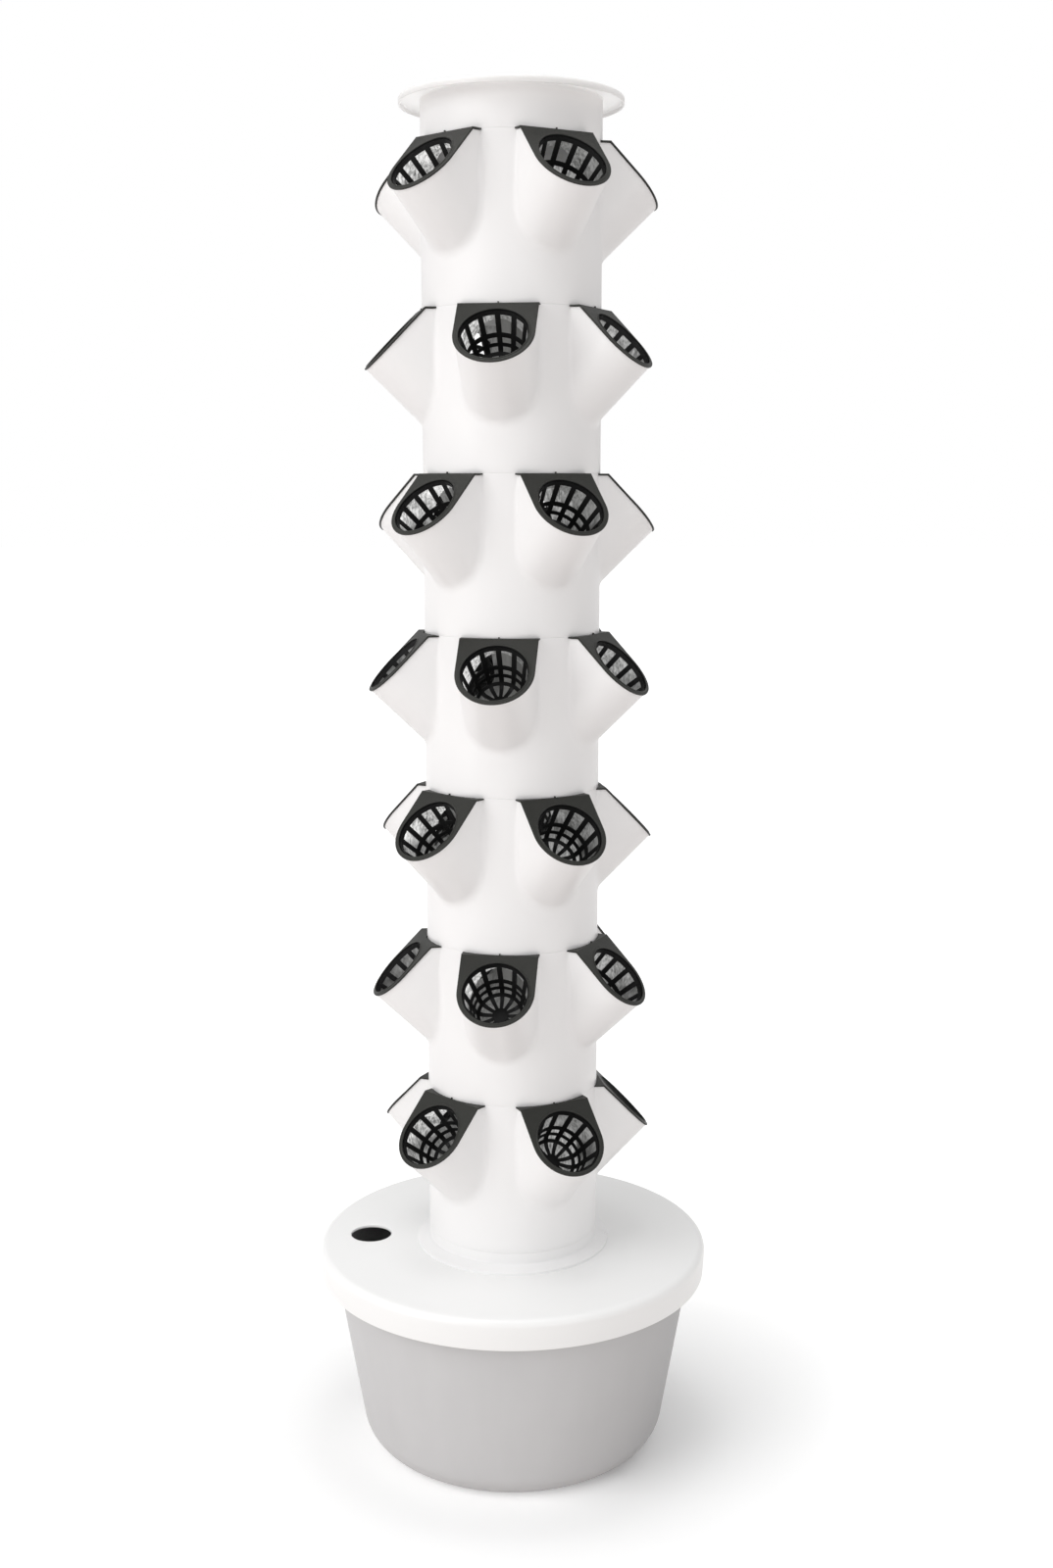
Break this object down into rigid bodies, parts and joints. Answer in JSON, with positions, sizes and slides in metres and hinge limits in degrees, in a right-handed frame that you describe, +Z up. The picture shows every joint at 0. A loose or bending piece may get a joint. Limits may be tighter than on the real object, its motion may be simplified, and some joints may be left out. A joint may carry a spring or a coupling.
{
  "type": "vertical planter tower",
  "caption": "Free-standing column planter: a lidded round water tub carries stacked tiers with slanted spouts that hold net cups, fed by a pump and a riser pipe.",
  "frame": {"origin": "middle of the tub's flat foot, on the floor", "axes": "+Z up along the column; the front is -Y and +X is to the right of someone facing the front"},
  "size_m": [0.463, 0.463, 1.562],
  "materials": {
    "tub_plastic": "satin",
    "white_plastic": "satin",
    "cap_plastic": "satin",
    "cup_plastic": "satin",
    "pipe_plastic": "satin",
    "pump_plastic": "matte"
  },
  "bodies": {
    "base": {"tub": "tub_plastic", "pump_body": "pump_plastic", "pump_cover": "pump_plastic", "riser_lower": "pipe_plastic", "riser_coupling": "pipe_plastic", "riser_upper": "pipe_plastic"},
    "lid": {"lid": "white_plastic", "base_socket": "white_plastic"},
    "collar": {"top_collar": "white_plastic", "shower_plate": "white_plastic"},
    "cap": {"top_cap": "cap_plastic"},
    "tier_7": {"tier_7": "white_plastic"},
    "tier_6": {"tier_6": "white_plastic"},
    "tier_5": {"tier_5": "white_plastic"},
    "tier_4": {"tier_4": "white_plastic"},
    "tier_3": {"tier_3": "white_plastic"},
    "tier_2": {"tier_2": "white_plastic"},
    "tier_1": {"tier_1": "white_plastic"},
    "cup_1_1": {"net_cup_1_1": "cup_plastic"},
    "cup_1_2": {"net_cup_1_2": "cup_plastic"},
    "cup_1_3": {"net_cup_1_3": "cup_plastic"},
    "cup_1_4": {"net_cup_1_4": "cup_plastic"},
    "cup_1_5": {"net_cup_1_5": "cup_plastic"},
    "cup_2_1": {"net_cup_2_1": "cup_plastic"},
    "cup_2_2": {"net_cup_2_2": "cup_plastic"},
    "cup_2_3": {"net_cup_2_3": "cup_plastic"},
    "cup_2_4": {"net_cup_2_4": "cup_plastic"},
    "cup_2_5": {"net_cup_2_5": "cup_plastic"},
    "cup_3_1": {"net_cup_3_1": "cup_plastic"},
    "cup_3_2": {"net_cup_3_2": "cup_plastic"},
    "cup_3_3": {"net_cup_3_3": "cup_plastic"},
    "cup_3_4": {"net_cup_3_4": "cup_plastic"},
    "cup_3_5": {"net_cup_3_5": "cup_plastic"},
    "cup_4_1": {"net_cup_4_1": "cup_plastic"},
    "cup_4_2": {"net_cup_4_2": "cup_plastic"},
    "cup_4_3": {"net_cup_4_3": "cup_plastic"},
    "cup_4_4": {"net_cup_4_4": "cup_plastic"},
    "cup_4_5": {"net_cup_4_5": "cup_plastic"},
    "cup_5_1": {"net_cup_5_1": "cup_plastic"},
    "cup_5_2": {"net_cup_5_2": "cup_plastic"},
    "cup_5_3": {"net_cup_5_3": "cup_plastic"},
    "cup_5_4": {"net_cup_5_4": "cup_plastic"},
    "cup_5_5": {"net_cup_5_5": "cup_plastic"},
    "cup_6_1": {"net_cup_6_1": "cup_plastic"},
    "cup_6_2": {"net_cup_6_2": "cup_plastic"},
    "cup_6_3": {"net_cup_6_3": "cup_plastic"},
    "cup_6_4": {"net_cup_6_4": "cup_plastic"},
    "cup_6_5": {"net_cup_6_5": "cup_plastic"},
    "cup_7_1": {"net_cup_7_1": "cup_plastic"},
    "cup_7_2": {"net_cup_7_2": "cup_plastic"},
    "cup_7_3": {"net_cup_7_3": "cup_plastic"},
    "cup_7_4": {"net_cup_7_4": "cup_plastic"},
    "cup_7_5": {"net_cup_7_5": "cup_plastic"}
  },
  "joints": [
    {"name": "lid_lift", "type": "slide", "parent": "base", "child": "lid", "axis": [0, 0, 1], "range_m": [0, 0.06]},
    {"name": "tier_7_lift", "type": "slide", "parent": "lid", "child": "tier_7", "axis": [0, 0, 1], "range_m": [0, 0.03]},
    {"name": "tier_6_lift", "type": "slide", "parent": "tier_7", "child": "tier_6", "axis": [0, 0, 1], "range_m": [0, 0.03]},
    {"name": "tier_5_lift", "type": "slide", "parent": "tier_6", "child": "tier_5", "axis": [0, 0, 1], "range_m": [0, 0.03]},
    {"name": "tier_4_lift", "type": "slide", "parent": "tier_5", "child": "tier_4", "axis": [0, 0, 1], "range_m": [0, 0.03]},
    {"name": "tier_3_lift", "type": "slide", "parent": "tier_4", "child": "tier_3", "axis": [0, 0, 1], "range_m": [0, 0.03]},
    {"name": "tier_2_lift", "type": "slide", "parent": "tier_3", "child": "tier_2", "axis": [0, 0, 1], "range_m": [0, 0.03]},
    {"name": "tier_1_lift", "type": "slide", "parent": "tier_2", "child": "tier_1", "axis": [0, 0, 1], "range_m": [0, 0.03]},
    {"name": "collar_lift", "type": "slide", "parent": "tier_1", "child": "collar", "axis": [0, 0, 1], "range_m": [0, 0.03]},
    {"name": "cap_lift", "type": "slide", "parent": "collar", "child": "cap", "axis": [0, 0, 1], "range_m": [0, 0.03]},
    {"name": "cup_1_1_pull", "type": "slide", "parent": "tier_1", "child": "cup_1_1", "axis": [0.3421, -0.6328, 0.6947], "range_m": [0, 0.11]},
    {"name": "cup_1_2_pull", "type": "slide", "parent": "tier_1", "child": "cup_1_2", "axis": [0.7075, 0.1299, 0.6947], "range_m": [0, 0.11]},
    {"name": "cup_1_3_pull", "type": "slide", "parent": "tier_1", "child": "cup_1_3", "axis": [0.0951, 0.713, 0.6947], "range_m": [0, 0.11]},
    {"name": "cup_1_4_pull", "type": "slide", "parent": "tier_1", "child": "cup_1_4", "axis": [-0.6487, 0.3108, 0.6947], "range_m": [0, 0.11]},
    {"name": "cup_1_5_pull", "type": "slide", "parent": "tier_1", "child": "cup_1_5", "axis": [-0.4961, -0.5209, 0.6947], "range_m": [0, 0.11]},
    {"name": "cup_2_1_pull", "type": "slide", "parent": "tier_2", "child": "cup_2_1", "axis": [-0.0951, -0.713, 0.6947], "range_m": [0, 0.11]},
    {"name": "cup_2_2_pull", "type": "slide", "parent": "tier_2", "child": "cup_2_2", "axis": [0.6487, -0.3108, 0.6947], "range_m": [0, 0.11]},
    {"name": "cup_2_3_pull", "type": "slide", "parent": "tier_2", "child": "cup_2_3", "axis": [0.4961, 0.5209, 0.6947], "range_m": [0, 0.11]},
    {"name": "cup_2_4_pull", "type": "slide", "parent": "tier_2", "child": "cup_2_4", "axis": [-0.3421, 0.6328, 0.6947], "range_m": [0, 0.11]},
    {"name": "cup_2_5_pull", "type": "slide", "parent": "tier_2", "child": "cup_2_5", "axis": [-0.7075, -0.1299, 0.6947], "range_m": [0, 0.11]},
    {"name": "cup_3_1_pull", "type": "slide", "parent": "tier_3", "child": "cup_3_1", "axis": [0.3421, -0.6328, 0.6947], "range_m": [0, 0.11]},
    {"name": "cup_3_2_pull", "type": "slide", "parent": "tier_3", "child": "cup_3_2", "axis": [0.7075, 0.1299, 0.6947], "range_m": [0, 0.11]},
    {"name": "cup_3_3_pull", "type": "slide", "parent": "tier_3", "child": "cup_3_3", "axis": [0.0951, 0.713, 0.6947], "range_m": [0, 0.11]},
    {"name": "cup_3_4_pull", "type": "slide", "parent": "tier_3", "child": "cup_3_4", "axis": [-0.6487, 0.3108, 0.6947], "range_m": [0, 0.11]},
    {"name": "cup_3_5_pull", "type": "slide", "parent": "tier_3", "child": "cup_3_5", "axis": [-0.4961, -0.5209, 0.6947], "range_m": [0, 0.11]},
    {"name": "cup_4_1_pull", "type": "slide", "parent": "tier_4", "child": "cup_4_1", "axis": [-0.0951, -0.713, 0.6947], "range_m": [0, 0.11]},
    {"name": "cup_4_2_pull", "type": "slide", "parent": "tier_4", "child": "cup_4_2", "axis": [0.6487, -0.3108, 0.6947], "range_m": [0, 0.11]},
    {"name": "cup_4_3_pull", "type": "slide", "parent": "tier_4", "child": "cup_4_3", "axis": [0.4961, 0.5209, 0.6947], "range_m": [0, 0.11]},
    {"name": "cup_4_4_pull", "type": "slide", "parent": "tier_4", "child": "cup_4_4", "axis": [-0.3421, 0.6328, 0.6947], "range_m": [0, 0.11]},
    {"name": "cup_4_5_pull", "type": "slide", "parent": "tier_4", "child": "cup_4_5", "axis": [-0.7075, -0.1299, 0.6947], "range_m": [0, 0.11]},
    {"name": "cup_5_1_pull", "type": "slide", "parent": "tier_5", "child": "cup_5_1", "axis": [0.3421, -0.6328, 0.6947], "range_m": [0, 0.11]},
    {"name": "cup_5_2_pull", "type": "slide", "parent": "tier_5", "child": "cup_5_2", "axis": [0.7075, 0.1299, 0.6947], "range_m": [0, 0.11]},
    {"name": "cup_5_3_pull", "type": "slide", "parent": "tier_5", "child": "cup_5_3", "axis": [0.0951, 0.713, 0.6947], "range_m": [0, 0.11]},
    {"name": "cup_5_4_pull", "type": "slide", "parent": "tier_5", "child": "cup_5_4", "axis": [-0.6487, 0.3108, 0.6947], "range_m": [0, 0.11]},
    {"name": "cup_5_5_pull", "type": "slide", "parent": "tier_5", "child": "cup_5_5", "axis": [-0.4961, -0.5209, 0.6947], "range_m": [0, 0.11]},
    {"name": "cup_6_1_pull", "type": "slide", "parent": "tier_6", "child": "cup_6_1", "axis": [-0.0951, -0.713, 0.6947], "range_m": [0, 0.11]},
    {"name": "cup_6_2_pull", "type": "slide", "parent": "tier_6", "child": "cup_6_2", "axis": [0.6487, -0.3108, 0.6947], "range_m": [0, 0.11]},
    {"name": "cup_6_3_pull", "type": "slide", "parent": "tier_6", "child": "cup_6_3", "axis": [0.4961, 0.5209, 0.6947], "range_m": [0, 0.11]},
    {"name": "cup_6_4_pull", "type": "slide", "parent": "tier_6", "child": "cup_6_4", "axis": [-0.3421, 0.6328, 0.6947], "range_m": [0, 0.11]},
    {"name": "cup_6_5_pull", "type": "slide", "parent": "tier_6", "child": "cup_6_5", "axis": [-0.7075, -0.1299, 0.6947], "range_m": [0, 0.11]},
    {"name": "cup_7_1_pull", "type": "slide", "parent": "tier_7", "child": "cup_7_1", "axis": [0.3421, -0.6328, 0.6947], "range_m": [0, 0.11]},
    {"name": "cup_7_2_pull", "type": "slide", "parent": "tier_7", "child": "cup_7_2", "axis": [0.7075, 0.1299, 0.6947], "range_m": [0, 0.11]},
    {"name": "cup_7_3_pull", "type": "slide", "parent": "tier_7", "child": "cup_7_3", "axis": [0.0951, 0.713, 0.6947], "range_m": [0, 0.11]},
    {"name": "cup_7_4_pull", "type": "slide", "parent": "tier_7", "child": "cup_7_4", "axis": [-0.6487, 0.3108, 0.6947], "range_m": [0, 0.11]},
    {"name": "cup_7_5_pull", "type": "slide", "parent": "tier_7", "child": "cup_7_5", "axis": [-0.4961, -0.5209, 0.6947], "range_m": [0, 0.11]}
  ]
}
